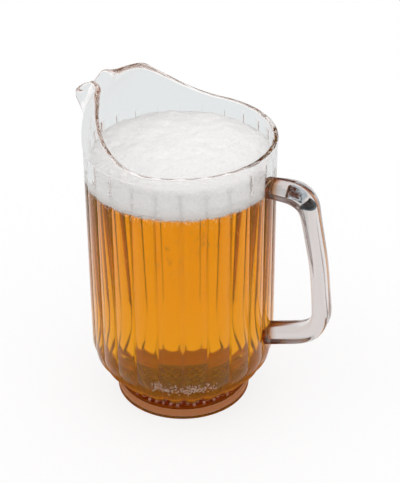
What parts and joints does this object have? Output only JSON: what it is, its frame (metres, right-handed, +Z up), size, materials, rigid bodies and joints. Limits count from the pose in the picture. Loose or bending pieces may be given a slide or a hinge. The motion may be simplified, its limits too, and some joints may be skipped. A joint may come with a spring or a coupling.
{
  "type": "beer pitcher",
  "caption": "Clear fluted plastic beer pitcher with a raised pinched spout, a stepped foot and an open bar handle, filled with amber beer under a head of white foam.",
  "frame": {"origin": "middle of the ring that the foot stands on, on the surface", "axes": "+Z up along the pitcher's axis, +X towards the handle, -X towards the spout"},
  "size_m": [0.1726, 0.123, 0.2209],
  "materials": {
    "body_plastic": "clear, moulded",
    "handle_plastic": "clear, moulded",
    "beer": "clear liquid",
    "foam": "fine bubbles"
  },
  "bodies": {
    "root": {"pitcher_body": "body_plastic", "handle": "handle_plastic", "beer": "beer", "foam_head": "foam"}
  },
  "joints": []
}
